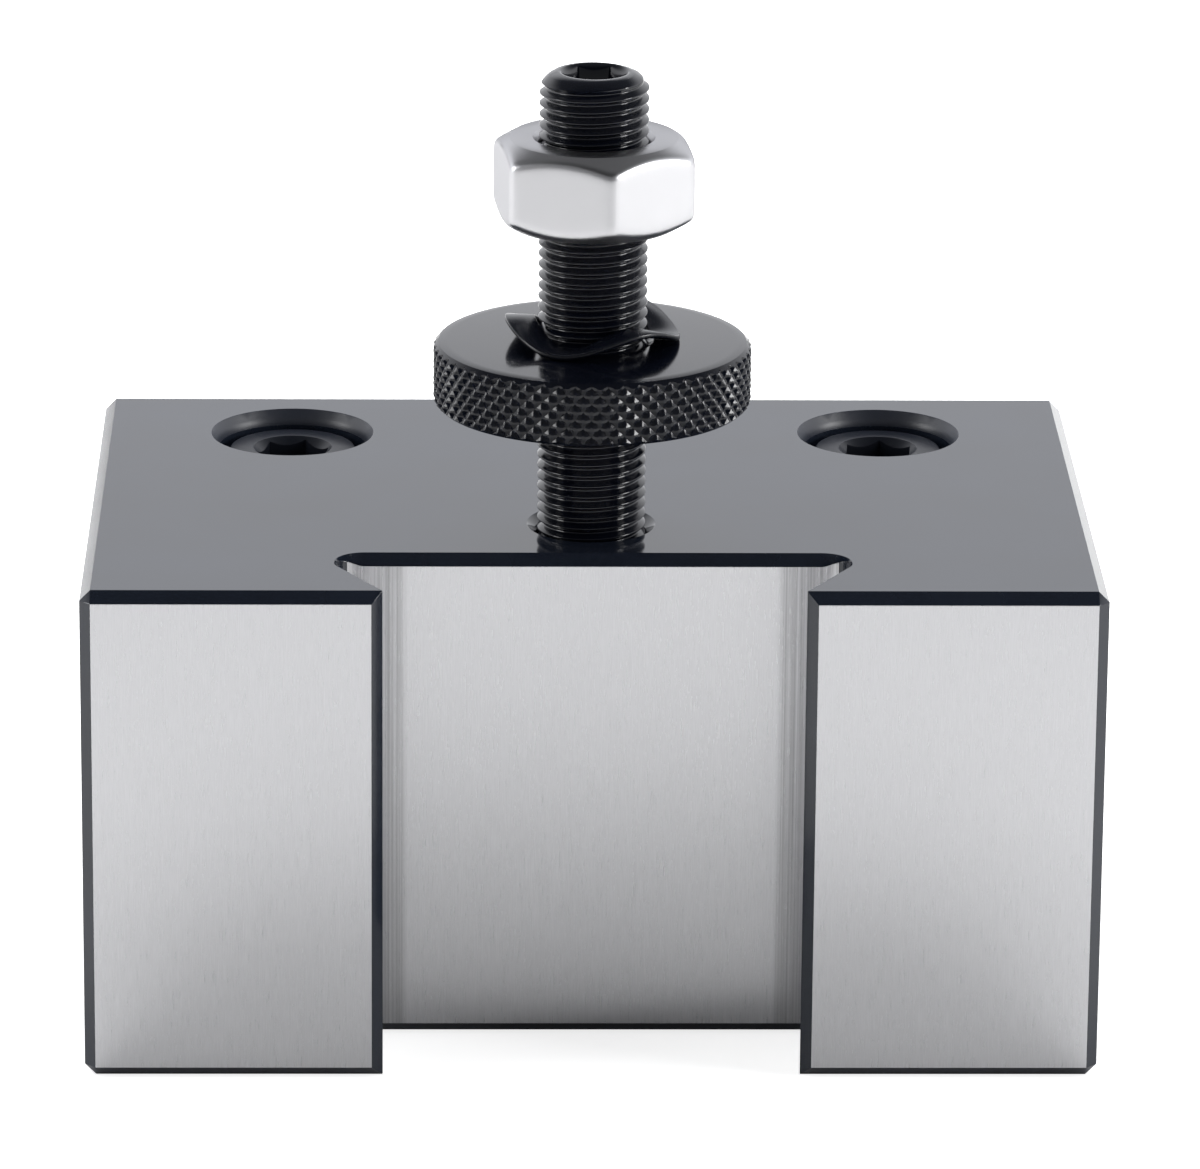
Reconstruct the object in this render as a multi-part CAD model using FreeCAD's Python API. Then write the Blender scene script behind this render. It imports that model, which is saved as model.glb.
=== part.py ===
import FreeCAD, Part
import math
import os

# Boring bar holder with a dovetail slot, a height stud and two clamp screws. Millimetres.
# X runs along the bar, Y from the slotted front to the split back, Z is up.
# The origin is the middle of the block's underside.

# Block
block_width = 92.0
block_depth = 62.0
block_height = 46.2
edge_chamfer = 1.0

# Dovetail slot in the front face
slot_mouth = 37.9
slot_depth = 11.2
dovetail_angle = 60.0
slot_corner_radius = 2.0
floor_chamfer = 1.0
floor_chamfer_end_radius = 2.75

# Bar bore, open at both sides, and the slit that lets its two jaws close
bar_diameter = 25.4
bar_clearance = 0.05
bore_from_front = 32.0
bore_height = 22.0
bore_chamfer = 1.2
slit_width = 3.0

# Clamp screws, near the back edge
screw_from_side = 18.15
screw_from_back = 12.0
screw_diameter = 8.0
screw_length = 30.0
head_diameter = 13.0
head_height = 8.0
head_chamfer = 0.7
head_below_top = 1.5
screw_hex = 6.0
screw_hex_depth = 4.0
screw_end_chamfer = 1.0
left_hex_turn = 40.0
right_hex_turn = -6.0
counterbore_gap = 0.45
counterbore_chamfer = 0.75
counterbore_chamfer_depth = 1.4
clearance_gap = 0.5
tapped_run_out = 1.5
drill_point_angle = 118.0

# Height stud, screwed into the top behind the slot
stud_behind_slot = 10.0
stud_diameter = 10.0
stud_length = 53.0
stud_in_block = 10.4
stud_top_chamfer = 1.5
stud_foot_chamfer = 1.0
stud_hex = 5.0
stud_hex_depth = 5.0
stud_hex_turn = 30.0
socket_lead = 0.25
stud_hole_run_out = 0.6
stud_countersink = 0.85
thread_clearance = 0.05

# Knurled adjusting nut
knurled_nut_diameter = 29.0
knurled_nut_thickness = 6.0
knurled_nut_above_block = 11.5
knurled_nut_chamfer = 0.5

# Wave spring washer, lying on the knurled nut
washer_diameter = 15.9
washer_hole_gap = 0.25
washer_thickness = 0.45
washer_seat_gap = 0.1
wave_height = 1.8
wave_count = 3
wave_turn = 65.0
points_per_wave = 12

# Lock nut, backed off above the washer
lock_nut_width = 17.0
lock_nut_height = 8.0
lock_nut_above_washer = 8.7
lock_nut_turn = 8.8
lock_nut_face_ratio = 0.9
lock_nut_chamfer_angle = 30.0
lock_nut_countersink = 0.5

# Places that follow from the sizes above
front = -block_depth / 2
back = block_depth / 2
slot_floor = front + slot_depth
flank_slope = math.tan(math.radians(90.0 - dovetail_angle))
bore_y = front + bore_from_front
bore_radius = bar_diameter / 2 + bar_clearance
screw_x = block_width / 2 - screw_from_side
screw_y = back - screw_from_back
head_top = block_height - head_below_top
head_seat = head_top - head_height
stud_y = slot_floor + stud_behind_slot
stud_foot = block_height - stud_in_block
stud_top = stud_foot + stud_length
nut_bore_radius = stud_diameter / 2 + thread_clearance
knurled_nut_foot = block_height + knurled_nut_above_block
knurled_nut_top = knurled_nut_foot + knurled_nut_thickness
washer_foot = knurled_nut_top + washer_seat_gap
washer_top = washer_foot + wave_height + washer_thickness
lock_nut_foot = washer_top + lock_nut_above_washer

up = FreeCAD.Vector(0, 0, 1)
along = FreeCAD.Vector(1, 0, 0)


def at(x, y, z):
    return FreeCAD.Vector(x, y, z)


def prism(points, foot, height):
    """A flat closed outline, given as (x, y) corners, raised from foot by height."""
    corners = [at(x, y, foot) for x, y in points]
    wire = Part.makePolygon(corners + [corners[0]])
    return Part.Face(wire).extrude(up * height)


def turned(profile, x, y):
    """A solid of revolution about the vertical line through x, y; the profile is (radius, z)."""
    corners = [at(x + radius, y, z) for radius, z in profile]
    wire = Part.makePolygon(corners + [corners[0]])
    return Part.Face(wire).revolve(at(x, y, 0), up, 360)


def hexagon(across_flats, turn, x, y, foot, height):
    """A hexagonal bar about the vertical line through x, y, with a corner towards the front."""
    radius = across_flats / math.sqrt(3)
    angles = [math.radians(60 * side - 90 + turn) for side in range(6)]
    points = [(x + radius * math.cos(a), y + radius * math.sin(a)) for a in angles]
    return prism(points, foot, height)


def slot_flank_x(depth):
    """Half the slot's width at a depth behind the front face."""
    return slot_mouth / 2 + (depth - edge_chamfer) * flank_slope


def slot_cutter():
    """The dovetail slot: a chamfered mouth, slanting flanks and rounded floor corners."""
    mouth = slot_mouth / 2
    floor = slot_flank_x(slot_depth)
    flare = mouth + 2 * edge_chamfer
    half = [(flare, front - edge_chamfer), (mouth, front + edge_chamfer), (floor, slot_floor)]
    points = half + [(-x, y) for x, y in reversed(half)]
    slot = prism(points, 0, block_height)
    corners = [edge for edge in slot.Edges if is_floor_corner(edge)]
    return slot.makeFillet(slot_corner_radius, corners)


def is_floor_corner(edge):
    """True for the two upright edges where the flanks meet the slot floor."""
    box = edge.BoundBox
    upright = box.ZLength > block_height / 2
    return upright and abs(box.YMin - slot_floor) < edge_chamfer / 10


def floor_chamfer_cutter():
    """A cone swept along the slot floor's upper edge, which leaves a chamfer with round ends."""
    corner_run = slot_corner_radius / math.tan(math.radians(dovetail_angle / 2))
    corner_reach = slot_flank_x(slot_depth) - corner_run + slot_corner_radius
    end_x = corner_reach - floor_chamfer_end_radius
    centre_y = slot_floor + floor_chamfer - floor_chamfer_end_radius
    small = floor_chamfer_end_radius - floor_chamfer
    foot = block_height - floor_chamfer
    cones = [
        Part.makeCone(small, floor_chamfer_end_radius, floor_chamfer, at(x, centre_y, foot))
        for x in (-end_x, end_x)
    ]
    section = [
        at(-end_x, centre_y, foot),
        at(-end_x, centre_y + small, foot),
        at(-end_x, centre_y + floor_chamfer_end_radius, block_height),
        at(-end_x, centre_y, block_height),
    ]
    bar = Part.Face(Part.makePolygon(section + [section[0]])).extrude(along * 2 * end_x)
    return cones[0].fuse([cones[1], bar])


def mirrored_to_foot(shape):
    """The same cut at the block's underside."""
    return shape.mirror(at(0, 0, block_height / 2), up)


def bore_cutter():
    """The bar bore along X, with a chamfer where it opens in each side face."""
    reach = block_width / 2
    mouth = bore_radius + bore_chamfer
    profile = [
        (-reach, 0),
        (-reach, mouth),
        (-reach + bore_chamfer, bore_radius),
        (reach - bore_chamfer, bore_radius),
        (reach, mouth),
        (reach, 0),
    ]
    corners = [at(x, bore_y + radius, bore_height) for x, radius in profile]
    face = Part.Face(Part.makePolygon(corners + [corners[0]]))
    return face.revolve(at(0, bore_y, bore_height), along, 360)


def slit_cutter():
    """The slit from the bore to the back face."""
    foot = bore_height - slit_width / 2
    corner = at(-block_width / 2, bore_y, foot)
    return Part.makeBox(block_width, back - bore_y, slit_width, corner)


def screw_hole_cutter(x):
    """A counterbore with a steep chamfer, a clearance hole to the slit and a blind tapped hole."""
    bore = head_diameter / 2 + counterbore_gap
    clear = screw_diameter / 2 + clearance_gap
    tapped = screw_diameter / 2 + thread_clearance
    tapped_foot = head_seat - screw_length - tapped_run_out
    point_depth = tapped / math.tan(math.radians(drill_point_angle / 2))
    profile = [
        (0, block_height),
        (bore + counterbore_chamfer, block_height),
        (bore, block_height - counterbore_chamfer_depth),
        (bore, head_seat),
        (clear, head_seat),
        (clear, bore_height),
        (tapped, bore_height),
        (tapped, tapped_foot),
        (0, tapped_foot - point_depth),
    ]
    return turned(profile, x, screw_y)


def stud_hole_cutter():
    """The countersunk tapped hole that holds the stud."""
    foot = stud_foot - stud_hole_run_out
    profile = [
        (0, block_height),
        (nut_bore_radius + stud_countersink, block_height),
        (nut_bore_radius, block_height - stud_countersink),
        (nut_bore_radius, foot),
        (0, foot),
    ]
    return turned(profile, 0, stud_y)


def body_block():
    corner = at(-block_width / 2, front, 0)
    block = Part.makeBox(block_width, block_depth, block_height, corner)
    block = block.makeChamfer(edge_chamfer, block.Edges)
    upper_chamfer = floor_chamfer_cutter()
    cuts = [
        slot_cutter(),
        upper_chamfer,
        mirrored_to_foot(upper_chamfer),
        bore_cutter(),
        slit_cutter(),
        stud_hole_cutter(),
        screw_hole_cutter(-screw_x),
        screw_hole_cutter(screw_x),
    ]
    return block.cut(cuts).removeSplitter()


def height_stud():
    radius = stud_diameter / 2
    lead = stud_hex / math.sqrt(3) + socket_lead
    profile = [
        (0, stud_foot),
        (radius - stud_foot_chamfer, stud_foot),
        (radius, stud_foot + stud_foot_chamfer),
        (radius, stud_top - stud_top_chamfer),
        (radius - stud_top_chamfer, stud_top),
        (0, stud_top),
    ]
    socket = hexagon(stud_hex, stud_hex_turn, 0, stud_y, stud_top - stud_hex_depth, stud_hex_depth)
    lead_in = turned([(0, stud_top - lead), (lead, stud_top), (0, stud_top)], 0, stud_y)
    return turned(profile, 0, stud_y).cut([socket, lead_in])


def knurled_adjusting_nut():
    radius = knurled_nut_diameter / 2
    inner = nut_bore_radius
    chamfer = knurled_nut_chamfer
    profile = [
        (inner + chamfer, knurled_nut_foot),
        (radius - chamfer, knurled_nut_foot),
        (radius, knurled_nut_foot + chamfer),
        (radius, knurled_nut_top - chamfer),
        (radius - chamfer, knurled_nut_top),
        (inner + chamfer, knurled_nut_top),
        (inner, knurled_nut_top - chamfer),
        (inner, knurled_nut_foot + chamfer),
    ]
    return turned(profile, 0, stud_y)


def wave_edge(radius, foot):
    """A closed wavy line round the stud; its low points are at the height foot."""
    count = wave_count * points_per_wave
    points = []
    for step in range(count):
        angle = 2 * math.pi * step / count
        rise = wave_height * (1 + math.cos(wave_count * angle)) / 2
        turn = angle + math.radians(wave_turn)
        points.append(at(radius * math.cos(turn), stud_y + radius * math.sin(turn), foot + rise))
    line = Part.BSplineCurve()
    line.interpolate(Points=points, PeriodicFlag=True)
    return line.toShape()


def wave_spring_washer():
    """A flat ring pressed into even waves: four ruled faces between its four wavy edges."""
    inner = stud_diameter / 2 + washer_hole_gap
    outer = washer_diameter / 2
    low_inner = wave_edge(inner, washer_foot)
    low_outer = wave_edge(outer, washer_foot)
    high_outer = wave_edge(outer, washer_foot + washer_thickness)
    high_inner = wave_edge(inner, washer_foot + washer_thickness)
    ring = [low_inner, low_outer, high_outer, high_inner]
    faces = [Part.makeRuledSurface(ring[side], ring[(side + 1) % 4]) for side in range(4)]
    shell = Part.makeShell(faces)
    shell.sewShape()
    washer = Part.makeSolid(shell)
    if washer.Volume < 0:
        washer.reverse()
    return washer


def lock_nut():
    """A hexagonal nut whose corners are turned off at both ends."""
    x, y = 0, stud_y
    bar = hexagon(lock_nut_width, lock_nut_turn, x, y, lock_nut_foot, lock_nut_height)
    top = lock_nut_foot + lock_nut_height
    face_radius = lock_nut_width / 2 * lock_nut_face_ratio
    corner_radius = lock_nut_width / math.sqrt(3) + lock_nut_countersink
    drop = (corner_radius - face_radius) * math.tan(math.radians(lock_nut_chamfer_angle))
    inner = nut_bore_radius
    lead = lock_nut_countersink
    profile = [
        (inner + lead, lock_nut_foot),
        (face_radius, lock_nut_foot),
        (corner_radius, lock_nut_foot + drop),
        (corner_radius, top - drop),
        (face_radius, top),
        (inner + lead, top),
        (inner, top - lead),
        (inner, lock_nut_foot + lead),
    ]
    return bar.common(turned(profile, x, y))


def clamp_screw(x, hex_turn):
    """A socket head cap screw, its head seated in the counterbore."""
    head = head_diameter / 2
    shank = screw_diameter / 2
    foot = head_seat - screw_length
    profile = [
        (0, foot),
        (shank - screw_end_chamfer, foot),
        (shank, foot + screw_end_chamfer),
        (shank, head_seat),
        (head, head_seat),
        (head, head_top - head_chamfer),
        (head - head_chamfer, head_top),
        (0, head_top),
    ]
    socket_foot = head_top - screw_hex_depth
    socket = hexagon(screw_hex, hex_turn, x, screw_y, socket_foot, screw_hex_depth)
    lead = screw_hex / math.sqrt(3) + socket_lead
    lead_in = turned([(0, head_top - lead), (lead, head_top), (0, head_top)], x, screw_y)
    return turned(profile, x, screw_y).cut([socket, lead_in])


nodes = {
    "body_block": body_block(),
    "height_stud": height_stud(),
    "knurled_adjusting_nut": knurled_adjusting_nut(),
    "wave_spring_washer": wave_spring_washer(),
    "lock_nut": lock_nut(),
    "clamp_screw_left": clamp_screw(-screw_x, left_hex_turn),
    "clamp_screw_right": clamp_screw(screw_x, right_hex_turn),
}

os.makedirs("parts", exist_ok=True)
for name, shape in nodes.items():
    box = shape.BoundBox
    print(name, "valid", shape.isValid(), "solids", len(shape.Solids), "volume", round(shape.Volume, 2),
          "z", round(box.ZMin, 3), round(box.ZMax, 3))
    shape.exportStep("parts/" + name + ".step")
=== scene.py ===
import math

import bmesh
import bpy
from bpy.props import FloatProperty, FloatVectorProperty, IntProperty, PointerProperty
from mathutils import Matrix, Vector


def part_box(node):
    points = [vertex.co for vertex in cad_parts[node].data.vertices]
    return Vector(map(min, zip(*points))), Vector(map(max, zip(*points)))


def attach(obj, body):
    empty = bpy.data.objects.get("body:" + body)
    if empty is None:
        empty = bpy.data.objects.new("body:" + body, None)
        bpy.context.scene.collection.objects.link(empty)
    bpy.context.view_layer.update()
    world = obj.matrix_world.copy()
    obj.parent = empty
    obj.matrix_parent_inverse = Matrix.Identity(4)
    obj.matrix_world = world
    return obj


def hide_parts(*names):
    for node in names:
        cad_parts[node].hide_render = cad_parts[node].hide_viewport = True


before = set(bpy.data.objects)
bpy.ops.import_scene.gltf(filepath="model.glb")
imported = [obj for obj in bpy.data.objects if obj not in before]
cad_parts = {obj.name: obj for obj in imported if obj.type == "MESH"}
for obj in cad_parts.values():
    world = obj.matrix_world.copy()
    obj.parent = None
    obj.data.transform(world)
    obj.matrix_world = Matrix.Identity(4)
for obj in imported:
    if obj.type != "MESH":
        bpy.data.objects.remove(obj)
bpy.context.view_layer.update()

bl_info = {
    "name": "Boring bar holder detail",
    "version": (1, 0, 0),
    "blender": (4, 5, 0),
    "location": "3D View > Sidebar > Holder",
    "description": "Threads, knurl, rounded edges and finishes for a dovetail boring bar holder",
    "category": "Object",
}

MM = 0.001

BLOCK_LOW, BLOCK_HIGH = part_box("body_block")
STUD_LOW, STUD_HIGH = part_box("height_stud")
KNURL_LOW, KNURL_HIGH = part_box("knurled_adjusting_nut")
WASHER_LOW, WASHER_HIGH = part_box("wave_spring_washer")
LOCK_LOW, LOCK_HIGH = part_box("lock_nut")
STUD_AXIS = (STUD_LOW + STUD_HIGH) / 2
STUD_RADIUS = (STUD_HIGH.x - STUD_LOW.x) / 2
WHITE = (1.0, 1.0, 1.0, 1.0)

NUT_CLEARANCE = 0.05 * MM
NUT_LEAD = 0.5 * MM
WASHER_WIDTH = 15.9 * MM
WASHER_CLEARANCE = 0.25 * MM
WASHER_GAP = 0.1 * MM
WASHER_EDGE_ROUND = 0.08 * MM
LOCK_NUT_WIDTH = 17.0 * MM
LOCK_NUT_BEVEL = math.radians(30.0)
STUD_RIM_RADIUS = 3.3 * MM
THREAD_END_CHAMFER = 1.0 * MM
STUD_SOCKET_DEPTH = 5.0 * MM
SCREW_SHANK_RADIUS = 4.0 * MM
SCREW_HEAD_HEIGHT = 8.0 * MM
SCREW_SOCKET_DEPTH = 4.0 * MM
SCREW_NECK_RADIUS = 3.2 * MM
SCREW_HEAD_SIDES = 120
SCREW_RIB_DEPTH = 0.12 * MM
SCREW_HEAD_LIP = 0.72 * MM
CREST_HALF, FLANK_SHARES, ROOT_START = 0.07, (0.10, 0.38), 0.42
OXIDE, GROUND, SLOT_FLOOR, BORED = range(4)


def size(name, description, value, low=0.0, high=0.1):
    """A length that the sidebar shows in the scene's units."""
    return FloatProperty(name=name, description=description, default=value, min=low, max=high,
                         unit="LENGTH", precision=5)


def share(name, description, value, high=1.0):
    """A plain factor."""
    return FloatProperty(name=name, description=description, default=value, min=0.0, max=high,
                         subtype="FACTOR", precision=3)


def turn(name, description, degrees):
    """An angle about the piece's own axis."""
    return FloatProperty(name=name, description=description, default=math.radians(degrees), subtype="ANGLE")


def finish_color(name, description, value):
    """A colour that the sidebar shows as a swatch."""
    return FloatVectorProperty(name=name, description=description, default=value, size=3,
                               min=0.0, max=1.0, subtype="COLOR")


def power(name, description, value):
    """A lamp's power."""
    return FloatProperty(name=name, description=description, default=value, min=0.0, unit="POWER")


class HolderBlockSettings(bpy.types.PropertyGroup):
    """The block's edges and where its slot was ground."""
    edge_round: size("Edge round", "Width of the small round on the block's edges", 0.000045)
    slot_depth: size("Slot depth", "From the wing faces to the slot floor", 0.0112)
    ground_half: size("Ground half width", "Half the width of the slot floor's ground middle", 0.01675)


class HolderThreadSettings(bpy.types.PropertyGroup):
    """The stud's and the clamp screws' threads."""
    stud_pitch: size("Stud pitch", "Rise of the stud's thread in one turn", 0.001)
    stud_phase: turn("Stud thread turn", "Where the stud's thread starts", -120.0)
    screw_pitch: size("Screw pitch", "Rise of a clamp screw's thread in one turn", 0.00125)
    crest_loss: size("Crest loss", "How far the thread crests stay inside the nominal size", 0.00003)
    stud_hex: size("Stud socket", "Stud's socket, across flats", 0.005)
    stud_hex_turn: turn("Stud socket turn", "Turn of the stud's socket about its axis", 30.0)
    crown_drop: size("Crown drop", "Height of the rounded crown on top of the stud", 0.0013)
    screw_hex: size("Screw socket", "Clamp screw's socket, across flats", 0.006)
    left_hex_turn: turn("Left socket turn", "Turn of the left screw's socket", 40.0)
    right_hex_turn: turn("Right socket turn", "Turn of the right screw's socket", -6.0)


class HolderNutSettings(bpy.types.PropertyGroup):
    """The knurled nut, the wave washer and the lock nut."""
    knurl_count: IntProperty(name="Knurl teeth", description="Diamonds round the rim", default=60,
                             min=20, max=400)
    knurl_turn: turn("Knurl turn", "Where a diamond of the reference row is", -88.3)
    knurl_row: size("Knurl row", "Height of the reference row of diamonds above the nut's foot", 0.00403)
    knurl_depth: size("Knurl depth", "Depth of the knurl's grooves", 0.00028)
    knurl_ridge: FloatProperty(name="Knurl ridge", description="How sharp the ridges of a diamond are",
                               default=8.0, min=1.0, max=40.0)
    knurl_tip: share("Knurl tip", "Size of a diamond's blunt tip, as a share of the diamond", 0.2)
    knurl_steps: IntProperty(name="Knurl steps", description="Faces along each side of a diamond", default=6,
                             min=2, max=12)
    rim_chamfer: size("Rim chamfer", "Chamfer at the knurled rim's two edges", 0.00048)
    rim_ease: size("Rim ease", "Width of the soft band inside the rim's chamfers", 0.0009)
    wave_height: size("Wave height", "Height of the washer's waves", 0.0018)
    wave_turn: turn("Wave turn", "Where the washer's first high point is", 65.0)
    washer_thickness: size("Washer thickness", "Thickness of the washer's sheet", 0.00045)
    lock_nut_turn: turn("Lock nut turn", "Turn of the lock nut about the stud", 8.8)
    lock_nut_face: share("Lock nut face", "Radius of its flat end faces, as a share of half its width", 0.9)
    lock_nut_round: size("Lock nut edge round", "Softness of its corners", 0.0002)


class HolderFinishSettings(bpy.types.PropertyGroup):
    """Colours of the finishes."""
    oxide: finish_color("Black oxide", "Block's satin black oxide", (0.012, 0.016, 0.026))
    oiled: finish_color("Oiled black", "Oiled black of the stud, the washer and the knurled nut",
                        (0.003, 0.004, 0.008))
    ground: finish_color("Ground steel", "Bare ground steel", (0.70, 0.70, 0.715))
    zinc: finish_color("Bright zinc", "Lock nut's zinc plate", (0.72, 0.72, 0.735))
    screw: finish_color("Screw black", "Clamp screws' satin black", (0.010, 0.012, 0.018))


class HolderStageSettings(bpy.types.PropertyGroup):
    """Floor, lamps and surroundings."""
    floor: finish_color("Floor", "Colour of the floor", (0.80, 0.80, 0.80))
    floor_lift: share("Floor lift", "Light that the floor adds for the camera", 0.78)
    floor_shine: share("Floor shine", "Light that the floor adds for glossy surfaces", 0.02)
    horizon: share("Horizon", "Brightness of the surroundings near the horizon", 1.1, 4.0)
    zenith: share("Zenith", "Brightness of the surroundings overhead", 0.12, 4.0)
    front: share("Front", "Brightness of the surroundings in front, as a share of that behind", 0.17)
    left_lamp: power("Left lamp", "Power of the left lamp", 1.9)
    right_lamp: power("Right lamp", "Power of the right lamp", 4.1)
    upper_lamps: power("Upper lamps", "Power of each lamp over the floor", 1.9)
    back_lamp: power("Back lamp", "Power of the lamp behind", 24.0)


# Node building


def node(tree, kind, inputs, **settings):
    """Adds a shader node; inputs maps a socket's name or number to a value or another socket."""
    made = tree.nodes.new(kind)
    for name, value in settings.items():
        setattr(made, name, value)
    for key, value in inputs.items():
        if isinstance(value, bpy.types.NodeSocket):
            tree.links.new(value, made.inputs[key])
        else:
            made.inputs[key].default_value = value
    return made


def math_node(tree, operation, a, b=0.0, c=0.0):
    """The output of a math node."""
    return node(tree, "ShaderNodeMath", {0: a, 1: b, 2: c}, operation=operation).outputs[0]


def new_group(name, inputs, outputs):
    """An empty shader node group with named float or vector sockets."""
    group = bpy.data.node_groups.new(name, "ShaderNodeTree")
    for label, kind, value in inputs:
        socket = group.interface.new_socket(name=label, in_out="INPUT", socket_type=kind)
        if value is not None:
            socket.default_value = value
    for label, kind in outputs:
        group.interface.new_socket(name=label, in_out="OUTPUT", socket_type=kind)
    start = group.nodes.new("NodeGroupInput")
    end = group.nodes.new("NodeGroupOutput")
    return group, start.outputs, end.inputs


def brushed_lines_group():
    """Fine lines along Z: a height for the bump and a tone for the colour."""
    group, given, made = new_group(
        "Brushed lines",
        [("Position", "NodeSocketVector", None), ("Lines per mm", "NodeSocketFloat", 11.0),
         ("Line length mm", "NodeSocketFloat", 2.2)],
        [("Height", "NodeSocketFloat"), ("Tone", "NodeSocketFloat")])
    across = math_node(group, "MULTIPLY", given["Lines per mm"], 1000.0)
    along = math_node(group, "DIVIDE", 1000.0, given["Line length mm"])
    scale = node(group, "ShaderNodeCombineXYZ", {0: across, 1: across, 2: along}).outputs[0]
    stretched = node(group, "ShaderNodeVectorMath", {0: given["Position"], 1: scale},
                     operation="MULTIPLY").outputs[0]
    fine = node(group, "ShaderNodeTexNoise",
                {"Vector": stretched, "Scale": 1.0, "Detail": 3.0, "Roughness": 0.6})
    broad = node(group, "ShaderNodeTexNoise", {"Vector": stretched, "Scale": 0.22, "Detail": 2.0})
    lines = math_node(group, "MULTIPLY_ADD", broad.outputs[0], 0.25, fine.outputs[0])
    group.links.new(lines, made["Height"])
    group.links.new(node(group, "ShaderNodeMapRange",
                         {"Value": lines, "From Min": 0.4, "From Max": 0.85}).outputs[0], made["Tone"])
    return group


def fine_grain_group():
    """Even fine grain and slow patches, for blackened and plated surfaces."""
    group, given, made = new_group(
        "Fine grain",
        [("Position", "NodeSocketVector", None), ("Grain mm", "NodeSocketFloat", 0.08),
         ("Patch mm", "NodeSocketFloat", 9.0)],
        [("Height", "NodeSocketFloat"), ("Patch", "NodeSocketFloat")])
    grain = math_node(group, "DIVIDE", 1000.0, given["Grain mm"])
    patch = math_node(group, "DIVIDE", 1000.0, given["Patch mm"])
    fine = node(group, "ShaderNodeTexNoise", {"Vector": given["Position"], "Scale": grain, "Detail": 2.0})
    slow = node(group, "ShaderNodeTexNoise", {"Vector": given["Position"], "Scale": patch, "Detail": 3.0})
    group.links.new(fine.outputs[0], made["Height"])
    group.links.new(slow.outputs[0], made["Patch"])
    return group


def turning_rings_group():
    """Concentric tool lines about an upright axis."""
    group, given, made = new_group(
        "Turning rings",
        [("Position", "NodeSocketVector", None), ("Axis", "NodeSocketVector", None),
         ("Rings per mm", "NodeSocketFloat", 9.0)],
        [("Height", "NodeSocketFloat")])
    offset = node(group, "ShaderNodeVectorMath", {0: given["Position"], 1: given["Axis"]},
                  operation="SUBTRACT")
    flat = node(group, "ShaderNodeVectorMath", {0: offset.outputs[0], 1: (1000.0, 1000.0, 0.0)},
                operation="MULTIPLY")
    radius = node(group, "ShaderNodeVectorMath", {0: flat.outputs[0]}, operation="LENGTH").outputs["Value"]
    scaled = math_node(group, "MULTIPLY", radius, given["Rings per mm"])
    rings = node(group, "ShaderNodeTexNoise", {"W": scaled, "Scale": 1.0, "Detail": 2.0},
                 noise_dimensions="1D")
    group.links.new(rings.outputs[0], made["Height"])
    return group


def effect(name):
    """The shared node group of that name, built when it is first asked for."""
    makers = {"Brushed lines": brushed_lines_group, "Fine grain": fine_grain_group,
              "Turning rings": turning_rings_group}
    return bpy.data.node_groups.get(name) or makers[name]()


def start_material(name):
    """A new material, its tree, its shader and the position on the object."""
    material = bpy.data.materials.new(name)
    material.use_nodes = True
    tree = material.node_tree
    tree.nodes.clear()
    shader = tree.nodes.new("ShaderNodeBsdfPrincipled")
    output = tree.nodes.new("ShaderNodeOutputMaterial")
    tree.links.new(shader.outputs[0], output.inputs[0])
    position = tree.nodes.new("ShaderNodeTexCoord").outputs["Object"]
    return material, tree, shader, position


def group_node(tree, name, inputs):
    """A shared effect, placed with its own values."""
    return node(tree, "ShaderNodeGroup", inputs, node_tree=effect(name)).outputs


def ranged(tree, value, low, high):
    """A value from 0 to 1 spread between low and high."""
    return node(tree, "ShaderNodeMapRange", {"Value": value, "To Min": low, "To Max": high}).outputs[0]


def tinted(tree, factor, dark, light):
    """A colour between dark and light."""
    return blended(tree, factor, (*dark, 1.0), (*light, 1.0))


def blended(tree, factor, first, second):
    """The colour output of a mix of two colours, each a value or a socket."""
    return node(tree, "ShaderNodeMix", {0: factor, "A": first, "B": second}, data_type="RGBA").outputs["Result"]


def bumped(tree, shader, height, distance):
    """Feeds a height into the shader's normal."""
    bump = node(tree, "ShaderNodeBump", {"Height": height, "Distance": distance, "Strength": 1.0})
    tree.links.new(bump.outputs[0], shader.inputs["Normal"])


def times(color, factor):
    """A colour made darker or lighter."""
    return tuple(min(1.0, c * factor) for c in color)


def blackened(name, color, roughness, ior=1.6, grain_mm=0.08, bump=0.0000006):
    """Black oxide: a dark ground under a clear sheen, with fine grain and slow patches."""
    material, tree, shader, position = start_material(name)
    grain = group_node(tree, "Fine grain", {"Position": position, "Grain mm": grain_mm})
    tree.links.new(tinted(tree, grain["Patch"], times(color, 0.7), times(color, 1.4)),
                   shader.inputs["Base Color"])
    tree.links.new(ranged(tree, grain["Patch"], roughness * 0.75, roughness * 1.25),
                   shader.inputs["Roughness"])
    shader.inputs["IOR"].default_value = ior
    bumped(tree, shader, grain["Height"], bump)
    return material


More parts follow.
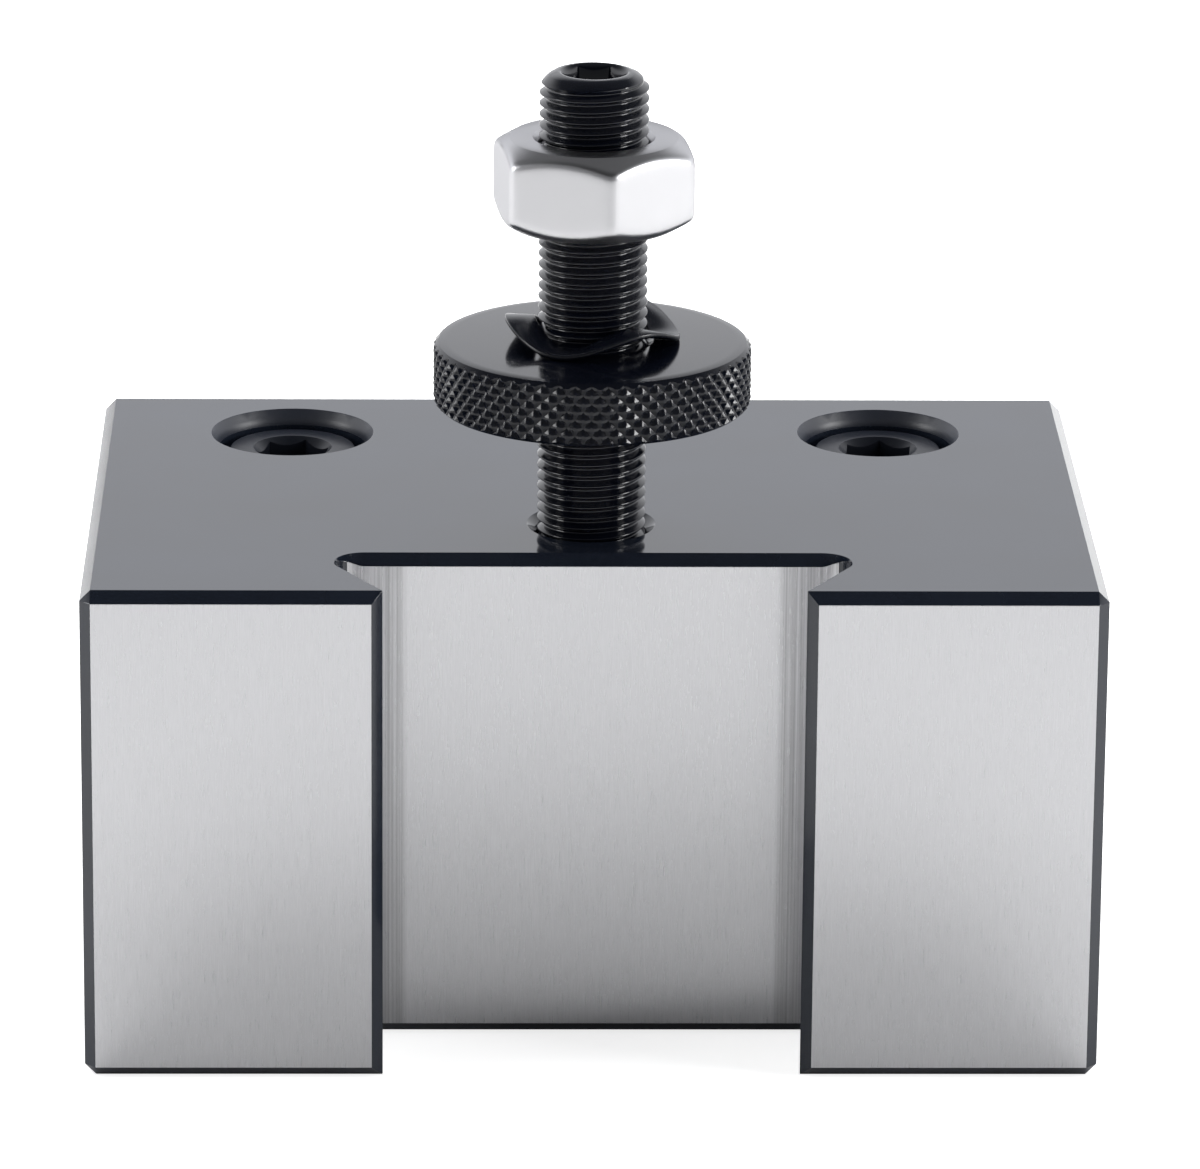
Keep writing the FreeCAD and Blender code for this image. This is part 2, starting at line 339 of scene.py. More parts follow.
def ground_steel(name, color, roughness, milled_beyond=None):
    """Bare steel with fine upright grinding lines; beyond a half width it is milled with coarser ones."""
    material, tree, shader, position = start_material(name)
    lines = group_node(tree, "Brushed lines", {"Position": position})
    shade = tinted(tree, lines["Tone"], times(color, 0.93), times(color, 1.05))
    height = lines["Height"]
    if milled_beyond:
        coarse = group_node(tree, "Brushed lines",
                            {"Position": position, "Lines per mm": 5.0, "Line length mm": 60.0})
        x = node(tree, "ShaderNodeSeparateXYZ", {0: position}).outputs[0]
        out = math_node(tree, "ABSOLUTE", x)
        mask = node(tree, "ShaderNodeMapRange", {"Value": out, "From Min": milled_beyond,
                                                 "From Max": milled_beyond + 0.0006}).outputs[0]
        milled = tinted(tree, coarse["Tone"], times(color, 0.50), times(color, 0.93))
        shade = blended(tree, mask, shade, milled)
        height = math_node(tree, "MULTIPLY_ADD", mask, 6.0, height)
    tree.links.new(shade, shader.inputs["Base Color"])
    tree.links.new(ranged(tree, lines["Tone"], roughness * 0.85, roughness * 1.15),
                   shader.inputs["Roughness"])
    shader.inputs["Metallic"].default_value = 1.0
    bumped(tree, shader, height, 0.0000012)
    return material


def turned_finish(material, axis, rings_per_mm=9.0, distance=0.0000004):
    """Adds turning lines about an axis to a finish that already has a bump."""
    tree = material.node_tree
    shader = next(n for n in tree.nodes if n.type == "BSDF_PRINCIPLED")
    position = next(n for n in tree.nodes if n.type == "TEX_COORD").outputs["Object"]
    rings = group_node(tree, "Turning rings",
                       {"Position": position, "Axis": axis, "Rings per mm": rings_per_mm})
    before = shader.inputs["Normal"].links[0].from_socket
    bump = node(tree, "ShaderNodeBump", {"Height": rings["Height"], "Distance": distance, "Normal": before})
    tree.links.new(bump.outputs[0], shader.inputs["Normal"])


def zinc_plate(name, color, roughness):
    """Bright zinc plate, slightly uneven, a little duller where it is seen edge on."""
    material, tree, shader, position = start_material(name)
    grain = group_node(tree, "Fine grain", {"Position": position, "Grain mm": 0.15, "Patch mm": 4.0})
    tree.links.new(tinted(tree, grain["Patch"], times(color, 0.97), times(color, 1.02)),
                   shader.inputs["Base Color"])
    tree.links.new(ranged(tree, grain["Patch"], roughness * 0.85, roughness * 1.2),
                   shader.inputs["Roughness"])
    shader.inputs["Metallic"].default_value = 1.0
    shader.inputs["Specular Tint"].default_value = (0.6, 0.6, 0.61, 1.0)
    bumped(tree, shader, grain["Height"], 0.0000005)
    return material


# Mesh building


def at_axis(axis, angle, radius, height):
    """A point round an upright axis."""
    return Vector((axis.x + radius * math.cos(angle), axis.y + radius * math.sin(angle), height))


def hex_radius(angle, across_flats, hex_turn):
    """Radius of a hexagon's outline at an angle, with a corner towards the front at no turn."""
    past_corner = (angle + math.pi / 2 - hex_turn) % (math.pi / 3)
    return across_flats / 2 / math.cos(past_corner - math.pi / 6)


def angles_round(count, start=0.0):
    """Evenly spread angles, from a starting angle."""
    return [start + 2 * math.pi * step / count for step in range(count)]


def skin(bm, rings, closed=False, cap_end=False):
    """Joins rings of points with quads, and can close the skin on itself or cap its last ring."""
    rows = [[bm.verts.new(point) for point in ring] for ring in rings]
    for lower, upper in zip(rows, rows[1:] + ([rows[0]] if closed else [])):
        for step in range(len(lower)):
            following = (step + 1) % len(lower)
            bm.faces.new((lower[step], lower[following], upper[following], upper[step]))
    if cap_end:
        bm.faces.new(rows[-1])


def ring_of(axis, angles, outline):
    """A ring of points; outline gives (radius, height) at an angle."""
    return [at_axis(axis, angle, *outline(angle)) for angle in angles]


def thread_profile(radius, pitch, crest_loss):
    """(share of a pitch, radius) along one thread: a narrow crest, two straight flanks and a round root."""
    crest = radius - crest_loss
    root = radius - 0.6134 * pitch
    shoulder = crest - 0.02 * pitch
    sole = root + 0.03 * pitch
    half = [(0.0, crest), (CREST_HALF, shoulder)]
    slope = (sole - shoulder) / (ROOT_START - CREST_HALF)
    half += [(at, shoulder + slope * (at - CREST_HALF)) for at in FLANK_SHARES]
    half += [(ROOT_START, sole)]
    return half + [(0.5, root)] + [(1.0 - at, r) for at, r in reversed(half[1:])]


def thread_skin(bm, axis, angles, low, high, pitch, profile, limit, phase=0.0):
    """A true helical thread between two heights; limit caps the radius at each height."""
    count, steps = len(angles), len(profile)
    turns = math.ceil((high - low) / pitch) + 3
    rows = []
    for row in range(turns * steps):
        rise, radius = profile[row % steps]
        foot = low + pitch * (row // steps + rise - 2 + phase / (2 * math.pi))
        ring = []
        for step, angle in enumerate(angles):
            height = min(max(foot + pitch * step / count, low), high)
            ring.append(bm.verts.new(at_axis(axis, angle, min(radius, limit(height)), height)))
        rows.append(ring)
    for row in range(len(rows) - 1):
        for step in range(count - 1):
            bm.faces.new((rows[row][step], rows[row][step + 1], rows[row + 1][step + 1], rows[row + 1][step]))
    for row in range(len(rows) - 1 - steps):
        bm.faces.new((rows[row][-1], rows[row + steps][0], rows[row + steps + 1][0], rows[row + 1][-1]))


def socket_skin(bm, axis, angles, rim_radius, top, across_flats, hex_turn, depth, lead_radius):
    """From a flat rim down into a hexagon socket with a coned lead and a drilled floor."""
    def wall(angle):
        return hex_radius(angle, across_flats, hex_turn)
    floor = top - depth
    rings = [
        ring_of(axis, angles, lambda a: (rim_radius, top)),
        ring_of(axis, angles, lambda a: (lead_radius, top)),
        ring_of(axis, angles, lambda a: (wall(a), top - (lead_radius - wall(a)))),
        ring_of(axis, angles, lambda a: (wall(a), floor)),
        ring_of(axis, angles, lambda a: (across_flats * 0.48, floor)),
        ring_of(axis, angles, lambda a: (across_flats * 0.02, floor - across_flats * 0.25)),
    ]
    skin(bm, rings, cap_end=True)


def mesh_from(bm, name, sharp_degrees=30.0):
    """Merges, faces outwards and shades a bmesh, and returns its mesh."""
    merge = 0.0000005
    bmesh.ops.remove_doubles(bm, verts=bm.verts, dist=merge)
    bmesh.ops.dissolve_degenerate(bm, edges=bm.edges, dist=merge)
    bmesh.ops.recalc_face_normals(bm, faces=bm.faces)
    mesh = bpy.data.meshes.new(name)
    bm.to_mesh(mesh)
    bm.free()
    shade(mesh, sharp_degrees)
    return mesh


def shade(mesh, sharp_degrees):
    """Smooth faces with sharp edges above an angle."""
    for face in mesh.polygons:
        face.use_smooth = True
    mesh.set_sharp_from_angle(angle=math.radians(sharp_degrees))


def rounded(mesh, width):
    """The mesh with a small round on every edge above an angle, kept inside the mesh's own box."""
    blank = bpy.data.objects.new("blank", mesh)
    bpy.context.scene.collection.objects.link(blank)
    bevel = blank.modifiers.new("Edge round", "BEVEL")
    bevel.width = width
    bevel.segments = 2
    bevel.limit_method = "ANGLE"
    bevel.angle_limit = math.radians(30.0)
    bevel.use_clamp_overlap = False
    soft = applied(blank)
    bpy.data.objects.remove(blank)
    for axis in range(3):
        low = min(vertex.co[axis] for vertex in mesh.vertices)
        high = max(vertex.co[axis] for vertex in mesh.vertices)
        for vertex in soft.vertices:
            vertex.co[axis] = min(max(vertex.co[axis], low), high)
    soft.name = mesh.name
    return soft


def flat_faces(piece):
    """Keeps large flat faces flat in the shading, beside small rounds."""
    weighted = piece.modifiers.new("Flat faces", "WEIGHTED_NORMAL")
    weighted.mode = "FACE_AREA"
    weighted.weight = 100
    weighted.keep_sharp = True


def dressed(name, mesh, body, node_name, materials):
    """Puts a mesh in the scene in place of a CAD node."""
    piece = bpy.data.objects.new(name, mesh)
    bpy.context.scene.collection.objects.link(piece)
    for material in materials:
        mesh.materials.append(material)
    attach(piece, body)
    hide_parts(node_name)
    return piece


def applied(piece):
    """The piece's mesh with its modifiers applied."""
    graph = bpy.context.evaluated_depsgraph_get()
    return bpy.data.meshes.new_from_object(piece.evaluated_get(graph))


def need(condition, message):
    """Stops an operator that can't finish."""
    if not condition:
        raise RuntimeError(message)


# Pieces


class HOLDER_OT_block(bpy.types.Operator):
    """Build the machined block with rounded edges, black oxide and ground faces"""
    bl_idname = "holder.block"
    bl_label = "Block"

    def execute(self, context):
        settings = context.scene.holder_block
        finish = context.scene.holder_finish
        bm = bmesh.new()
        bm.from_mesh(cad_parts["body_block"].data)
        bmesh.ops.remove_doubles(bm, verts=bm.verts, dist=0.000001)
        bmesh.ops.dissolve_limit(bm, angle_limit=math.radians(0.4), verts=bm.verts, edges=bm.edges)
        front = BLOCK_LOW.y
        floor_y = front + settings.slot_depth
        near = 0.00005
        for face in bm.faces:
            face.material_index = OXIDE
            normal, middle = face.normal, face.calc_center_median()
            upright = abs(normal.z) < 0.05
            on_chamfer = 0.3 < normal.z < 0.9 and BLOCK_HIGH.z - middle.z < 0.0015
            if normal.y < -0.99 and abs(middle.y - front) < near:
                face.material_index = GROUND
            elif normal.y < -0.99 and abs(middle.y - floor_y) < near:
                face.material_index = SLOT_FLOOR
            elif upright and 0.4 < normal.y < 0.6 and front < middle.y < floor_y:
                face.material_index = GROUND
            elif upright and abs(middle.x) < 0.0222 and front + 0.002 < middle.y < floor_y:
                face.material_index = SLOT_FLOOR
            elif on_chamfer and 0.01 < middle.y < 0.0285 and abs(middle.x) < 0.04:
                face.material_index = BORED
        need(len({face.material_index for face in bm.faces}) == 4, "the block's ground faces were not found")
        mesh = bpy.data.meshes.new("machined_block")
        bm.to_mesh(mesh)
        bm.free()
        mesh = rounded(mesh, settings.edge_round)
        shade(mesh, 40.0)
        oxide = blackened("Satin black oxide", finish.oxide, 0.09)
        ground = ground_steel("Ground wing faces", finish.ground, 0.30)
        slot = ground_steel("Ground slot floor", finish.ground, 0.30, settings.ground_half)
        bored = blackened("Dull oxide", times(finish.screw, 2.2), 0.42, ior=1.75, grain_mm=0.25,
                          bump=0.000006)
        flat_faces(dressed("machined_block", mesh, "holder", "body_block",
                           [oxide, ground, slot, bored]))
        return {"FINISHED"}


class HOLDER_OT_stud(bpy.types.Operator):
    """Build the height stud with its helical thread, rounded crown and hexagon socket"""
    bl_idname = "holder.stud"
    bl_label = "Height stud"

    def execute(self, context):
        threads = context.scene.holder_threads
        low, high = STUD_LOW.z, STUD_HIGH.z
        foot_radius = STUD_RADIUS - THREAD_END_CHAMFER
        angles = angles_round(96, threads.stud_hex_turn)

        def limit(height):
            drop = min(1.0, max(0.0, (high - height) / threads.crown_drop))
            crown = STUD_RIM_RADIUS + (STUD_RADIUS - STUD_RIM_RADIUS) * math.sqrt(drop)
            return min(crown, foot_radius + height - low)

        bm = bmesh.new()
        profile = thread_profile(STUD_RADIUS, threads.stud_pitch, threads.crest_loss)
        thread_skin(bm, STUD_AXIS, angles, low, high, threads.stud_pitch, profile, limit,
                    threads.stud_phase)
        lead = threads.stud_hex / math.sqrt(3) + 0.2 * MM
        socket_skin(bm, STUD_AXIS, angles, STUD_RIM_RADIUS, high, threads.stud_hex, threads.stud_hex_turn,
                    STUD_SOCKET_DEPTH, lead)
        bm.faces.new([bm.verts.new(at_axis(STUD_AXIS, a, foot_radius, low)) for a in reversed(angles)])
        mesh = mesh_from(bm, "threaded_stud", 50.0)
        oiled = blackened("Oiled black stud", context.scene.holder_finish.oiled, 0.12, grain_mm=0.12,
                          bump=0.000002)
        dressed("threaded_stud", mesh, "holder", "height_stud", [oiled])
        return {"FINISHED"}


class HOLDER_OT_knurled_nut(bpy.types.Operator):
    """Build the knurled adjusting nut with real diamonds cut by its rim chamfers"""
    bl_idname = "holder.knurled_nut"
    bl_label = "Knurled nut"

    def execute(self, context):
        nuts = context.scene.holder_nuts
        radius = (KNURL_HIGH.x - KNURL_LOW.x) / 2
        low, high = KNURL_LOW.z, KNURL_HIGH.z
        count = 2 * nuts.knurl_count
        row_height = 2 * math.pi * radius / count
        valley = radius - nuts.knurl_depth
        bm = bmesh.new()
        lattice = {}
        steps = nuts.knurl_steps

        def knurl_point(column, row, depth):
            """The shared point of the knurl's lattice at a column and a row."""
            key = (round(column * steps * 2) % (count * steps * 2), round(row * steps * 2))
            if key not in lattice:
                angle = nuts.knurl_turn + 2 * math.pi * column / count
                height = low + nuts.knurl_row + row * row_height
                lattice[key] = bm.verts.new(at_axis(STUD_AXIS, angle, radius - depth, height))
            return lattice[key]

        def groove(along, across):
            """Depth of the groove at a place on a diamond."""
            sides = [abs(2 * part - 1) for part in (along, across)]
            fall = sum(side ** nuts.knurl_ridge for side in sides) ** (1 / nuts.knurl_ridge)
            return nuts.knurl_depth * min(max(fall - nuts.knurl_tip, 0.0) / (1 - nuts.knurl_tip), 1.0)

        first = -math.ceil(nuts.knurl_row / row_height) - 1
        last = math.ceil((high - low - nuts.knurl_row) / row_height) + 1
        for row in range(first, last + 1):
            for column in range(count):
                if (column + row) % 2 == 1:
                    continue
                patch = []
                for i in range(steps + 1):
                    line = []
                    for j in range(steps + 1):
                        along, across = i / steps, j / steps
                        line.append(knurl_point(column + along - across, row - 1 + along + across,
                                                groove(along, across)))
                    patch.append(line)
                for i in range(steps):
                    for j in range(steps):
                        bm.faces.new((patch[i][j], patch[i + 1][j], patch[i + 1][j + 1], patch[i][j + 1]))
        for row, side in ((first - 1, -1), (last + 1, 1)):
            ring = []
            for column in range(count):
                inward = (column + row) % 2 == 1
                ring.append(knurl_point(column, row if inward else row - side, nuts.knurl_depth))
                for step in range(1, steps):
                    part = step / steps
                    drop = part if inward else 1 - part
                    ring.append(knurl_point(column + part, row - side * drop, groove(0.0, part)))
            end = low + nuts.knurl_row + (row + side) * row_height
            middle = bm.verts.new(at_axis(STUD_AXIS, 0.0, 0.0, end))
            for step in range(len(ring)):
                bm.faces.new((ring[step], ring[(step + 1) % len(ring)], middle))
        knurl = mesh_from(bm, "knurl")
        inner, lead = STUD_RADIUS + NUT_CLEARANCE, NUT_LEAD
        chamfer, flare = nuts.rim_chamfer, 1.2 * MM
        ease = radius - chamfer - nuts.rim_ease
        upper = [(ease, high), (ease + 0.55 * nuts.rim_ease, high - 0.03 * nuts.rim_ease),
                 (radius - chamfer, high - 0.12 * nuts.rim_ease), (radius + flare, high - chamfer - flare)]
        lower = [(r, low + high - z) for r, z in reversed(upper)]
        hole = [(inner + lead, low), (inner, low + lead), (inner, high - lead), (inner + lead, high)]
        bm = bmesh.new()
        angles = angles_round(160, 0.01)
        skin(bm, [ring_of(STUD_AXIS, angles, lambda a, p=p: p) for p in upper + lower + hole], closed=True)
        envelope = mesh_from(bm, "envelope")
        tool = bpy.data.objects.new("envelope", envelope)
        blank = bpy.data.objects.new("blank", knurl)
        for piece in (tool, blank):
            context.scene.collection.objects.link(piece)
        cut = blank.modifiers.new("Turned", "BOOLEAN")
        cut.operation = "INTERSECT"
        cut.solver = "EXACT"
        cut.object = tool
        mesh = applied(blank)
        for piece in (tool, blank):
            bpy.data.objects.remove(piece)
        need(len(mesh.polygons) > 2000, "the knurl was not cut")
        mesh.name = "knurled_nut"
        mesh.materials.clear()
        shade(mesh, 24.0)
        for face in mesh.polygons:
            out = (Vector(face.center) - STUD_AXIS).xy.length
            face.material_index = 1 if out > radius - nuts.knurl_depth - 0.03 * MM else 0
        color = context.scene.holder_finish.oiled
        oiled = blackened("Oiled black nut", color, 0.12, grain_mm=0.15, bump=0.000001)
        turned_finish(oiled, STUD_AXIS)
        rim = blackened("Black knurl", color, 0.17, ior=1.48, grain_mm=0.15, bump=0.000002)
        dressed("knurled_nut", mesh, "knurled_nut", "knurled_adjusting_nut", [oiled, rim])
        return {"FINISHED"}


class HOLDER_OT_washer(bpy.types.Operator):
    """Build the wave spring washer with softened edges"""
    bl_idname = "holder.washer"
    bl_label = "Wave washer"

    def execute(self, context):
        nuts = context.scene.holder_nuts
        outer = WASHER_WIDTH / 2
        inner = STUD_RADIUS + WASHER_CLEARANCE
        foot = KNURL_HIGH.z + WASHER_GAP
        thick = nuts.washer_thickness
        soft = WASHER_EDGE_ROUND
        section = [
            (inner, soft), (inner + soft, 0.0), (outer - soft, 0.0), (outer, soft),
            (outer, thick - soft), (outer - soft, thick), (inner + soft, thick), (inner, thick - soft),
        ]
        angles = angles_round(180)

        def wave(angle):
            """Height of the washer's underside at an angle."""
            return foot + nuts.wave_height * (1 + math.cos(3 * (angle - nuts.wave_turn))) / 2

        bm = bmesh.new()
        rings = [ring_of(STUD_AXIS, angles, lambda a, r=r, h=h: (r, wave(a) + h)) for r, h in section]
        skin(bm, rings, closed=True)
        mesh = mesh_from(bm, "wave_washer", 50.0)
        oiled = blackened("Oiled black spring", context.scene.holder_finish.oiled, 0.26, ior=1.5,
                          grain_mm=0.2)
        dressed("wave_washer", mesh, "washer", "wave_spring_washer", [oiled])
        return {"FINISHED"}


class HOLDER_OT_lock_nut(bpy.types.Operator):
    """Build the zinc plated lock nut with turned-off corners"""
    bl_idname = "holder.lock_nut"
    bl_label = "Lock nut"

    def execute(self, context):
        nuts = context.scene.holder_nuts
        width, low, high = LOCK_NUT_WIDTH, LOCK_LOW.z, LOCK_HIGH.z
        face = width / 2 * nuts.lock_nut_face
        half, middle = (high - low) / 2, (high + low) / 2
        inner, lead = STUD_RADIUS + NUT_CLEARANCE, NUT_LEAD
        soft = nuts.lock_nut_round

        def outside(radius, angle, height):
            """How far a point lies outside the nut, with its edges blended."""
            flanks = [radius * math.cos(angle + shift) - width / 2
                      for shift in (-math.pi / 3, 0.0, math.pi / 3)]
            cone = (radius - face) * math.sin(LOCK_NUT_BEVEL) + (height - half) * math.cos(LOCK_NUT_BEVEL)
            walls = flanks + [cone]
            top = max(walls)
            return top + soft * math.log(sum(math.exp((wall - top) / soft) for wall in walls))

        def reach(angle, height):
            """The blended nut's radius at an angle from the middle of a face."""
            near, far = face / 2, width
            for _ in range(30):
                radius = (near + far) / 2
                near, far = (radius, far) if outside(radius, angle, height) < 0 else (near, radius)
            return near

        steps, rises = 24, 20
        heights = [half * math.sin(math.pi / 2 * rise / rises) for rise in range(rises + 1)]
        sector = [[reach(math.pi / 3 * (step / steps - 0.5), height) for step in range(steps)]
                  for height in heights]
        angles = angles_round(6 * steps, nuts.lock_nut_turn - math.pi / 2)
        levels = [(row, -height) for row, height in zip(sector, heights)][:0:-1] + list(zip(sector, heights))
        rings = [[at_axis(STUD_AXIS, a, row[i % steps], middle + height) for i, a in enumerate(angles)]
                 for row, height in levels]
        bm = bmesh.new()
        hole = [(inner + lead, high), (inner, high - lead), (inner, low + lead), (inner + lead, low)]
        rings += [ring_of(STUD_AXIS, angles, lambda a, p=p: p) for p in hole]
        skin(bm, rings, closed=True)
        mesh = mesh_from(bm, "hexagon_nut", 40.0)
        zinc = zinc_plate("Bright zinc", context.scene.holder_finish.zinc, 0.30)
        turned_finish(zinc, STUD_AXIS, 5.0)
        dressed("hexagon_nut", mesh, "lock_nut", "lock_nut", [zinc])
        return {"FINISHED"}


class HOLDER_OT_screws(bpy.types.Operator):
    """Build the two socket head clamp screws"""
    bl_idname = "holder.screws"
    bl_label = "Clamp screws"

    def execute(self, context):
        threads = context.scene.holder_threads
        satin = blackened("Satin black screw", context.scene.holder_finish.screw, 0.34, ior=1.45, grain_mm=0.1,
                          bump=0.000003)
        for side, hex_turn in (("left", threads.left_hex_turn), ("right", threads.right_hex_turn)):
            node_name = "clamp_screw_" + side
            low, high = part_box(node_name)
            axis = (low + high) / 2
            head = (high.x - low.x) / 2
            shank, seat = SCREW_SHANK_RADIUS, high.z - SCREW_HEAD_HEIGHT
            angles = angles_round(SCREW_HEAD_SIDES, hex_turn)
            bm = bmesh.new()

            def rib(angle, head=head, start=hex_turn):
                """Radius of the head's ribbed side at an angle."""
                step = round((angle - start) / (2 * math.pi / SCREW_HEAD_SIDES))
                return head - (SCREW_RIB_DEPTH if step % 2 else 0.0)

            lower = [(shank * 0.8, seat), (head - 0.4 * MM, seat), (head - 0.1 * MM, seat + 0.5 * MM)]
            upper = [
                (head - 0.1 * MM, high.z - 1.0 * MM), (head - 0.14 * MM, high.z - 0.75 * MM),
                (head - 0.58 * MM, high.z - 0.16 * MM), (head - 0.64 * MM, high.z - 0.05 * MM),
                (head - SCREW_HEAD_LIP, high.z),
            ]
            ribbed = (seat + 0.7 * MM, high.z - 1.3 * MM)
            sides = [[at_axis(axis, a, rib(a), z) for a in angles] for z in ribbed]
            plain = [[at_axis(axis, a, *point) for a in angles] for point in lower + upper]
            skin(bm, plain[:3] + sides + plain[3:])
            lead = threads.screw_hex / math.sqrt(3) + 0.25 * MM
            socket_skin(bm, axis, angles, head - SCREW_HEAD_LIP, high.z, threads.screw_hex, hex_turn,
                        SCREW_SOCKET_DEPTH, lead)
            profile = thread_profile(shank, threads.screw_pitch, threads.crest_loss)
            end = shank - THREAD_END_CHAMFER
            neck = SCREW_NECK_RADIUS
            thread_skin(bm, axis, angles, low.z, seat, threads.screw_pitch, profile,
                        lambda z, f=low.z, e=end, s=seat: min(e + z - f, max(neck, neck + s - z)))
            bm.faces.new([bm.verts.new(at_axis(axis, a, end, low.z)) for a in reversed(angles)])
            mesh = mesh_from(bm, "cap_screw_" + side, 35.0)
            dressed("cap_screw_" + side, mesh, side + "_screw", node_name, [satin])
        return {"FINISHED"}


# Stage


def camera_matrix(place, pitch, yaw, roll):
    """Where the camera stands and how it is turned, for a view along +Y that is pitched down."""
    ahead = Vector((math.sin(yaw) * math.cos(pitch), math.cos(yaw) * math.cos(pitch), -math.sin(pitch)))
    right = Vector((math.cos(yaw), -math.sin(yaw), 0.0))
    over = right.cross(ahead)
    turned_right = right * math.cos(roll) + over * math.sin(roll)
    turned_over = over * math.cos(roll) - right * math.sin(roll)
    rows = [[turned_right[i], turned_over[i], -ahead[i]] for i in range(3)]
    return Matrix.Translation(place) @ Matrix(rows).to_4x4()


def lamp(name, place, width, height, power, mirrored=True):
    """A soft rectangular lamp that faces the object."""
    light = bpy.data.lights.new(name, "AREA")
    light.shape = "RECTANGLE"
    light.size, light.size_y = width, height
    light.energy = power
    stand = bpy.data.objects.new(name, light)
    facing = (Vector(place) - Vector((0.0, 0.0, 0.05))).to_track_quat("Z", "Y").to_matrix().to_4x4()
    stand.matrix_world = Matrix.Translation(place) @ facing
    stand.visible_camera = False
    stand.visible_glossy = mirrored
    bpy.context.scene.collection.objects.link(stand)


def surroundings(stage):
    """White for the camera; for everything else bright near the horizon and dimmer overhead."""
    world = bpy.data.worlds.new("Studio")
    world.use_nodes = True
    tree = world.node_tree
    tree.nodes.clear()
    direction = tree.nodes.new("ShaderNodeTexCoord").outputs["Generated"]
    axes = node(tree, "ShaderNodeSeparateXYZ", {0: direction}).outputs
    height = node(tree, "ShaderNodeMapRange", {"Value": axes[2], "From Min": 0.38, "From Max": 0.72,
                                               "To Min": stage.horizon, "To Max": stage.zenith},
                  interpolation_type="SMOOTHSTEP").outputs[0]
    behind = node(tree, "ShaderNodeMapRange", {"Value": axes[1], "From Min": -0.6, "From Max": 0.2,
                                               "To Min": stage.front, "To Max": 1.0},
                  interpolation_type="SMOOTHSTEP").outputs[0]
    level = math_node(tree, "MULTIPLY", height, behind)
    seen = tree.nodes.new("ShaderNodeLightPath").outputs["Is Camera Ray"]
    studio = node(tree, "ShaderNodeBackground", {"Color": (0.955, 0.965, 1.0, 1.0), "Strength": level})
    white = node(tree, "ShaderNodeBackground", {"Color": WHITE, "Strength": 1.0})
    mix = node(tree, "ShaderNodeMixShader", {0: seen, 1: studio.outputs[0], 2: white.outputs[0]})
    output = tree.nodes.new("ShaderNodeOutputWorld")
    tree.links.new(mix.outputs[0], output.inputs[0])
    bpy.context.scene.world = world


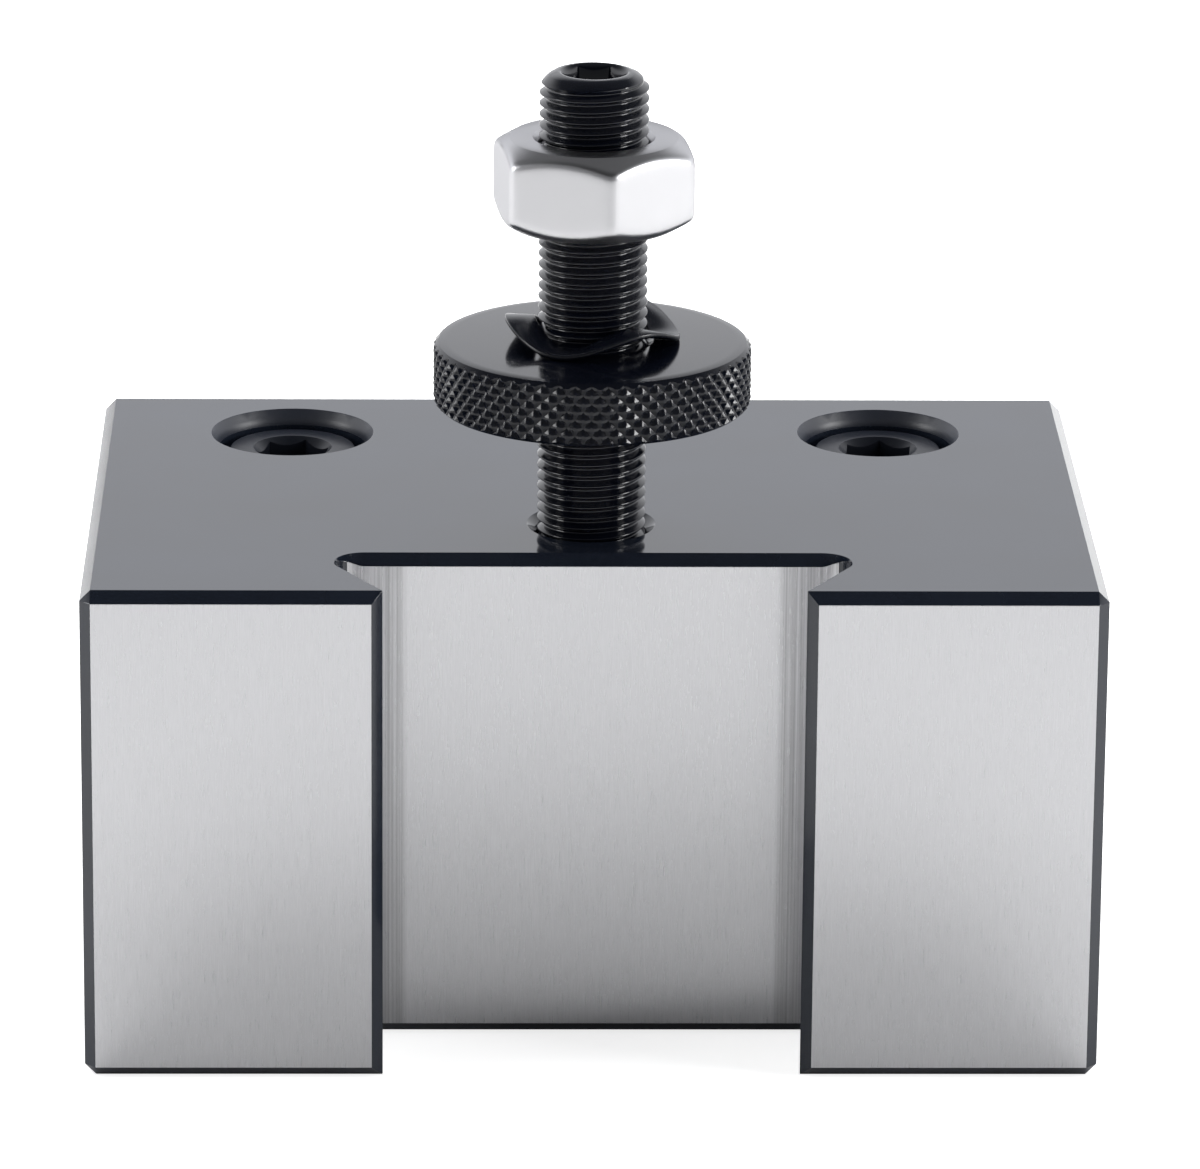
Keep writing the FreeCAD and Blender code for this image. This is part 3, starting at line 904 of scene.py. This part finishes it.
class HOLDER_OT_stage(bpy.types.Operator):
    """Set the pale floor, the soft lamps, the surroundings and the camera"""
    bl_idname = "holder.stage"
    bl_label = "Stage"

    def execute(self, context):
        stage = context.scene.holder_stage
        bm = bmesh.new()
        bmesh.ops.create_circle(bm, cap_ends=True, segments=64, radius=6.0)
        mesh = bpy.data.meshes.new("floor")
        bm.to_mesh(mesh)
        bm.free()
        floor = bpy.data.objects.new("floor", mesh)
        floor.location.z = -0.00002
        context.scene.collection.objects.link(floor)
        material, tree, shader, position = start_material("Pale floor")
        paper = node(tree, "ShaderNodeTexNoise", {"Vector": position, "Scale": 300.0})
        tree.links.new(tinted(tree, paper.outputs[0], times(stage.floor, 0.99), times(stage.floor, 1.01)),
                       shader.inputs["Base Color"])
        shader.inputs["Roughness"].default_value = 0.9
        shader.inputs["Specular IOR Level"].default_value = 0.0
        path = tree.nodes.new("ShaderNodeLightPath").outputs
        shine = math_node(tree, "MULTIPLY", path["Is Glossy Ray"], stage.floor_shine)
        lift = math_node(tree, "MULTIPLY_ADD", path["Is Camera Ray"], stage.floor_lift, shine)
        glow = node(tree, "ShaderNodeEmission", {"Color": WHITE, "Strength": lift})
        both = node(tree, "ShaderNodeAddShader", {0: shader.outputs[0], 1: glow.outputs[0]})
        output = next(n for n in tree.nodes if n.type == "OUTPUT_MATERIAL")
        tree.links.new(both.outputs[0], output.inputs[0])
        mesh.materials.append(material)
        lamp("left lamp", (-0.99, -0.16, 0.30), 0.32, 0.32, stage.left_lamp)
        lamp("right lamp", (0.96, -0.28, 0.30), 0.30, 0.30, stage.right_lamp)
        for side in (-1, 1):
            lamp("upper lamp", (side * 0.62, 0.0, 0.80), 0.6, 0.5, stage.upper_lamps, mirrored=False)
        lamp("back lamp", (0.0, 1.0, 0.85), 1.0, 0.5, stage.back_lamp, mirrored=False)
        surroundings(stage)
        eye = bpy.data.cameras.new("Camera")
        eye.sensor_fit = "HORIZONTAL"
        eye.sensor_width = 36.0
        eye.lens = 234.66
        eye.clip_start, eye.clip_end = 0.01, 50.0
        camera = bpy.data.objects.new("Camera", eye)
        camera.matrix_world = camera_matrix(Vector((-14.37, -693.49, 260.82)) * MM, math.radians(17.874),
                                            math.radians(1.277), math.radians(0.483))
        context.scene.collection.objects.link(camera)
        context.scene.camera = camera
        context.scene.view_settings.view_transform = "Standard"
        return {"FINISHED"}


PIECES = (HOLDER_OT_block, HOLDER_OT_stud, HOLDER_OT_knurled_nut, HOLDER_OT_washer, HOLDER_OT_lock_nut,
          HOLDER_OT_screws, HOLDER_OT_stage)
SETTINGS = {
    "holder_block": HolderBlockSettings,
    "holder_threads": HolderThreadSettings,
    "holder_nuts": HolderNutSettings,
    "holder_finish": HolderFinishSettings,
    "holder_stage": HolderStageSettings,
}


class HOLDER_PT_sidebar(bpy.types.Panel):
    """The holder's sizes, finishes and build buttons"""
    bl_idname = "HOLDER_PT_sidebar"
    bl_label = "Boring bar holder"
    bl_space_type = "VIEW_3D"
    bl_region_type = "UI"
    bl_category = "Holder"

    def draw(self, context):
        layout = self.layout
        for name, group in SETTINGS.items():
            box = layout.box()
            box.label(text=group.__doc__)
            for key in group.__annotations__:
                box.prop(getattr(context.scene, name), key)
        for piece in PIECES:
            layout.operator(piece.bl_idname)


def register():
    """Registers the settings, the build buttons and the panel."""
    for group in SETTINGS.values():
        bpy.utils.register_class(group)
    for piece in PIECES:
        bpy.utils.register_class(piece)
    bpy.utils.register_class(HOLDER_PT_sidebar)
    for name, group in SETTINGS.items():
        setattr(bpy.types.Scene, name, PointerProperty(type=group))


def unregister():
    """Takes all of it out again."""
    for name in SETTINGS:
        delattr(bpy.types.Scene, name)
    bpy.utils.unregister_class(HOLDER_PT_sidebar)
    for piece in reversed(PIECES):
        bpy.utils.unregister_class(piece)
    for group in reversed(SETTINGS.values()):
        bpy.utils.unregister_class(group)


def main():
    """Builds every piece and the stage."""
    register()
    bpy.ops.holder.block()
    bpy.ops.holder.stud()
    bpy.ops.holder.knurled_nut()
    bpy.ops.holder.washer()
    bpy.ops.holder.lock_nut()
    bpy.ops.holder.screws()
    bpy.ops.holder.stage()
    bpy.context.view_layer.update()


if __name__ == "__main__":
    main()
